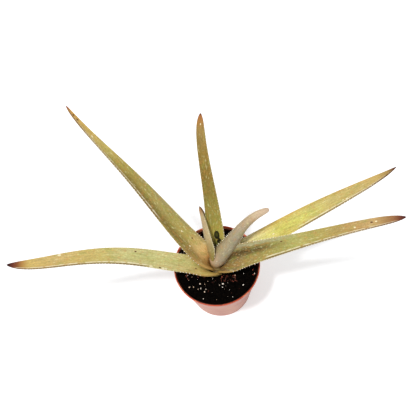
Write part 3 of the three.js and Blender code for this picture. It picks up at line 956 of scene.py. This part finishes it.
class LeafForm:
    """The run of a leaf's midrib and the size of its section, as its solid has them."""

    def __init__(self, leaf):
        self.leaf = leaf
        self.length = leaf["length"]
        self.reach, self.clasp, wrap, foot, self.opens = leaf["sheath"]
        self.wrap = math.radians(wrap)
        heading = math.radians(leaf["heading"][0])
        point = STEM_AXIS + self.reach * Vector((math.cos(heading), math.sin(heading), 0))
        point.z = foot
        self.midrib = [point.copy()]
        for i in range(LEAF_STRIDES):
            along = self.directions((i + 0.5) / LEAF_STRIDES)[0]
            point += along * (self.length / LEAF_STRIDES)
            self.midrib.append(point.copy())

    def sheath(self, t):
        """How much of a place is sheath: 1 at the foot, 0 along the blade."""
        return math.exp(-(t * self.length / self.opens) ** 2)

    def directions(self, t):
        """Along the leaf, to its left, and out of its upper face."""
        sheath = self.sheath(t)
        heading = math.radians(guided(self.leaf["heading"], t))
        rise = math.radians(between(guided(self.leaf["rise"], t), SHEATH_RISE, sheath))
        roll = math.radians(guided(self.leaf["roll"], t) * (1 - sheath))
        along = Vector((math.cos(heading) * math.cos(rise), math.sin(heading) * math.cos(rise),
                        math.sin(rise)))
        level = Vector((-math.sin(heading), math.cos(heading), 0))
        upright = along.cross(level)
        face = upright * math.cos(roll) + level * math.sin(roll)
        side = level * math.cos(roll) - upright * math.sin(roll)
        return along, side, face

    def taper(self, t):
        sharpness, rounding = self.leaf["tip"]
        return (1 - t ** sharpness) ** rounding

    def half_width(self, t):
        clasping = 2 * self.clasp * self.wrap
        width = between(guided(self.leaf["width"], t), clasping, self.sheath(t))
        return width * self.taper(t) / 2

    def half_angle(self, t):
        channel = math.radians(guided(self.leaf["channel"], t))
        return between(channel, self.wrap, self.sheath(t))

    def point(self, t, across, under, proud=0.0):
        """A point of the skin: across is -1 to 1, under is 0 on the face and 1 on the back."""
        sheath = self.sheath(t)
        taper = self.taper(t)
        half_angle = self.half_angle(t)
        radius = self.half_width(t) / half_angle
        if under:
            flesh = between(guided(self.leaf["flesh"], t), SHEATH_FLESH, sheath) * taper
            depth = LEAF_EDGE * min(1, taper * 1.5)
            depth += flesh * max(1 - across * across, 0) ** self.leaf["keel"]
            reach = radius + under * depth + proud
        else:
            reach = radius - self.leaf["pad"] * sheath * (1 - across ** MARGIN_FADE) - proud
        place = t * LEAF_STRIDES
        i = min(int(place), LEAF_STRIDES - 1)
        middle = self.midrib[i].lerp(self.midrib[i + 1], place - i)
        if t == 0:
            middle = middle - Vector((0, 0, self.leaf["root"]))
        _, side, face = self.directions(t)
        angle = across * half_angle
        return (middle + side * (reach * math.sin(angle))
                + face * (radius - reach * math.cos(angle))) * MM

    def wrinkle(self, t, across, under):
        """Shallow grooves that run along the leaf, and slow swells."""
        place = t * self.length
        seed = Vector((self.length, 0, 40 * under))
        groove = noise.noise(Vector((place / GROOVE_RUN, across * GROOVE_COUNT, 0)) + seed)
        swell = noise.noise(Vector((place / SWELL_RUN, across * SWELL_COUNT, 5)) + seed)
        fade = (1 - across ** MARGIN_FADE) * (1 - self.sheath(t)) * (1 - t ** TIP_FADE)
        return fade * (GROOVE_HEIGHT * groove + SWELL_HEIGHT * swell)


def leaf_blank(name, form):
    """A flat slab of many faces, which the leaf's form then bends and thins."""
    blank = start_piece(name, bpy.ops.mesh.primitive_grid_add, x_subdivisions=LEAF_STATIONS,
                        y_subdivisions=LEAF_COLUMNS, size=2, location=(0, 0, 0))
    open_mesh()
    bpy.ops.mesh.extrude_region_move(TRANSFORM_OT_translate={"value": (0, 0, 1)})
    close_mesh()
    mesh = blank.data
    share = mesh.attributes.new("leaf_share", "FLOAT_VECTOR", "POINT")
    measure = mesh.attributes.new("leaf_measure", "FLOAT_VECTOR", "POINT")
    for corner, part, span in zip(mesh.vertices, share.data, measure.data):
        u = (corner.co.x + 1) / 2
        t = u - STATION_CROWDING * math.sin(2 * math.pi * u) / (2 * math.pi)
        t = min(max(t, 0), 1)
        across = math.sin(math.pi / 2 * corner.co.y)
        under = 1 if corner.co.z > 0.5 else 0
        part.vector = (t, across, under)
        span.vector = (t * form.length * MM, across * form.half_width(t) * MM,
                       under * BACK_OFFSET * MM)
        corner.co = form.point(t, across, under, form.wrinkle(t, across, under))
    open_mesh()
    bpy.ops.mesh.remove_doubles(threshold=0.02 * MM)
    bpy.ops.mesh.normals_make_consistent(inside=False)
    close_mesh()
    rounding = blank.modifiers.new("rounding", "SUBSURF")
    rounding.levels = rounding.render_levels = 1
    bpy.ops.object.modifier_apply(modifier=rounding.name)
    return blank


def tooth_template():
    """One hooked tooth: a six-sided cone a unit high that stands on the XY plane, leaning to +X."""
    tooth = start_piece("tooth", bpy.ops.mesh.primitive_cone_add, vertices=6,
                        radius1=TOOTH_BASE / 2, radius2=TOOTH_WAIST, depth=TOOTH_SHANK,
                        location=(0, 0, TOOTH_SHANK / 2))
    bpy.ops.object.mode_set(mode="EDIT")
    bpy.ops.mesh.select_all(action="DESELECT")
    close_mesh()
    for face in tooth.data.polygons:
        face.select = face.normal.z > 0.9
    bpy.ops.object.mode_set(mode="EDIT")
    bpy.ops.transform.translate(value=(TOOTH_LEAN, 0, 0))
    bpy.ops.mesh.extrude_region_move(TRANSFORM_OT_translate={"value": TOOTH_HOOK})
    bpy.ops.mesh.merge(type="CENTER")
    close_mesh()
    settle(tooth)
    return tooth


def leaf_teeth(form, template, seed):
    """Teeth along both margins, a little uneven, smaller towards the tip."""
    chance = random.Random(seed)
    height, spacing, upturn = form.leaf["teeth"]
    teeth = []
    for margin in (-1, 1):
        place = form.opens + spacing * chance.random()
        while place < form.length - TOOTH_BARE:
            t = place / form.length
            size = height * (1 - 0.5 * t) * chance.uniform(*TOOTH_SIZES)
            size *= min(1, (form.length - place) / TOOTH_DWINDLE + 0.3)
            foot = form.point(t, margin, 0.5)
            along, side, face = form.directions(t)
            turn = upturn * form.half_angle(t)
            out = side * (margin * math.cos(turn)) + face * math.sin(turn)
            turn = Matrix((along, out.cross(along), out)).transposed().to_4x4()
            sink = Matrix.Translation(foot - out * TOOTH_SINK * MM)
            teeth += copied(template, [sink @ turn @ Matrix.Scale(size * MM, 4)])
            share = teeth[-1].data.attributes.new("leaf_share", "FLOAT_VECTOR", "POINT")
            measure = teeth[-1].data.attributes.new("leaf_measure", "FLOAT_VECTOR", "POINT")
            for part, span in zip(share.data, measure.data):
                part.vector = (t, margin, 0.5)
                span.vector = (t * form.length * MM, margin * form.half_width(t) * MM,
                               BACK_OFFSET / 2 * MM)
            place += spacing * (1 - 0.25 * t) * chance.uniform(*TOOTH_STEPS)
    return teeth


def leaf_painter(leaf, form, young):
    """The paint of one leaf, from the finish in its table. The young ones show their back."""

    def paint(start):
        share = start.attribute("leaf_share")
        measure = start.attribute("leaf_measure")
        t, across, under = (share.axis(letter) for letter in "XYZ")
        # Grains a metre: along the leaf, across it and from the face to the back.
        streaks = measure.grain(1, 4, 0.6, (45, 900, 100))
        fine = measure.grain(1, 3, 0.6, (180, 2600, 100))
        cloud = measure.grain(1, 2, 0.5, (60, 160, 100))
        patches = measure.grain(1, 3, 0.6, (150, 330, 100))
        mottle = measure.grain(1, 3, 0.65, (420, 700, 100))
        fresh = 1 - t.ease(0.8, 0.93)
        rough = 0.7 if young else 1

        colour = (t + (mottle - 0.5) * 0.03 + (streaks - 0.5) * 0.03).ramp(leaf["tones"])
        for middle, reach, code, strength, full, gone in leaf["bands"]:
            band = (across + cloud * 0.5 - 0.25).bell(middle, reach)
            colour = lay(code, colour, band * strength * (1 - t.ease(full, gone)))
        colour = lay(LEAF_GREEN, colour, cloud.ease(0.5, 0.68) * 0.35 * rough * fresh)
        colour = lay(LEAF_RUST, colour, (1 - patches).ease(0.52, 0.66) * 0.4 * rough * fresh)
        colour = lay(LEAF_PALE, colour, patches.ease(0.54, 0.7) * 0.35 * fresh)
        uneven = (streaks - 0.5) * 0.9 + (mottle - 0.5) + (fine - 0.5) * 0.35
        colour = colour.scaled(1.02 + uneven * rough)
        colour = lay(LEAF_BACK, colour, under * 0.3 * (1 - young) * fresh)

        cells = measure.add("Mapping", None, {"Vector": measure, "Scale": (190, 300, 100)})
        cells = cells.add("TexVoronoi", None, {"Vector": cells, "Scale": 1.0}, output="Distance")
        dots = (1 - cells.ease(0.12, 0.24)) * mottle.ease(0.48, 0.58)
        colour = lay(LEAF_DOT, colour, dots * leaf["speckle"] * fresh)

        if leaf["seam"]:
            margin, begin, end, strength = leaf["seam"]
            reach = t.ease(begin - 0.04, begin + 0.02) * (1 - t.ease(end, end + 0.02)) * strength
            edge = across * margin + (mottle - 0.5) * 0.1
            pale = edge.bell(0.75, 0.12) * patches.ease(0.35, 0.5)
            colour = lay(SEAM_PALE, colour, pale * reach)
            colour = lay(SEAM_BROWN, colour, edge.ease(0.85, 0.89) * reach)
        rim = (abs(across) + fine * 0.04 - 0.02).ease(0.96, 0.99)
        grown = t.ease(0.1, 0.3)
        colour = lay(RIM_BROWN, colour, rim * (1 - grown) * (1 - 0.8 * young))
        colour = lay(RIM_PALE, colour, rim * (0.4 + 0.4 * young) * grown * fresh)

        for along, over, size, code in leaf["marks"]:
            colour = lay(code, colour, spot(measure, mottle, form, along, over, size) * 0.96)
        roughness = cloud * 0.15 + 0.45 + (1 - fresh) * 0.15
        relief = streaks * 0.2 + fine * 0.06 + mottle * 0.12 + dots * leaf["speckle"] * 0.3
        return colour, roughness, relief

    return paint


def spot(measure, mottle, form, t, across, size):
    """An oblong mark on the face, longer along the leaf and ragged at its edge."""
    middle = (t * form.length * MM, across * form.half_width(t) * MM, 0)
    away = measure.vector("SUBTRACT", middle).vector("MULTIPLY", (0.6, 1, 1)).reach()
    away = away + (mottle - 0.5) * (1.6 * MM)
    return 1 - away.ease(0.75 * size * MM, size * MM)


def tooth_paint(start):
    """Pale horny teeth, brown where the leaf is withered."""
    t = start.attribute("leaf_share").axis("X")
    tint = start.place().grain(400)
    colour = lay(TOOTH_TAN, TOOTH_WHITE, tint.ease(0.4, 0.65))
    colour = lay(TOOTH_BROWN, colour, t.ease(0.9, 0.97) * 0.85)
    return colour, tint * 0.1 + 0.5, tint * 0.1


def make_leaves():
    template = tooth_template()
    tooth_skin = painted("leaf_teeth", tooth_paint)
    for seed, (node, leaf) in enumerate(LEAVES.items()):
        form = LeafForm(leaf)
        blade = leaf_blank(node + "_skin", form)
        young = node in YOUNG_LEAVES
        blade.data.materials.append(painted(node + "_flesh", leaf_painter(leaf, form, young),
                                            Specular_IOR_Level=0.22))
        teeth = joined("teeth", leaf_teeth(form, template, seed + 5))
        teeth.data.materials.append(tooth_skin)
        smooth(blade, 60)
        blade = joined(node + "_skin", [blade, teeth])
        belongs(blade, "leaf_young" if young else "leaf", node)
    bpy.data.objects.remove(template)


# ------------------------------------------------------------------ floor, light and camera


def floor_paint(start):
    """Pale paper, quite flat."""
    cloud = start.place().grain(3)
    return lay(PAPER, PAPER_CLOUD, cloud), cloud * 0.1 + 0.85, cloud * 0.0


def make_floor():
    floor = start_piece("studio_floor", bpy.ops.mesh.primitive_plane_add, size=FLOOR_SIZE,
                        location=(0, 0, 0))
    floor.data.materials.append(painted("studio_paper", floor_paint, Specular_IOR_Level=0.1,
                                        Emission_Color=(1, 1, 1, 1),
                                        Emission_Strength=FLOOR_GLOW))


def make_light():
    world = bpy.data.worlds.new("studio")
    world.use_nodes = True
    sky = world.node_tree.nodes["Background"]
    sky.inputs["Color"].default_value = (1, 1, 1, 1)
    sky.inputs["Strength"].default_value = SKY_POWER
    bpy.context.scene.world = world
    lamp = bpy.data.lights.new("soft_lamp", "SUN")
    lamp.energy = SUN_POWER
    lamp.angle = SUN_SPREAD
    holder = bpy.data.objects.new("soft_lamp", lamp)
    holder.rotation_euler = SUN_TRAVEL.to_track_quat("-Z", "Y").to_euler()
    bpy.context.collection.objects.link(holder)


def make_camera():
    lens = bpy.data.cameras.new("camera")
    lens.sensor_width = SENSOR_WIDTH
    lens.lens = SENSOR_WIDTH * FOCAL_PIXELS / PHOTO_PIXELS
    lens.clip_start = CLIP_START
    camera = bpy.data.objects.new("camera", lens)
    camera.matrix_world = Matrix.Translation(CAMERA_PLACE) @ camera_turn().to_4x4()
    bpy.context.collection.objects.link(camera)
    bpy.context.scene.camera = camera
    bpy.context.scene.view_settings.view_transform = "Standard"


make_pot()
make_soil()
make_loose_bits()
make_stem()
make_leaves()
make_floor()
make_light()
make_camera()
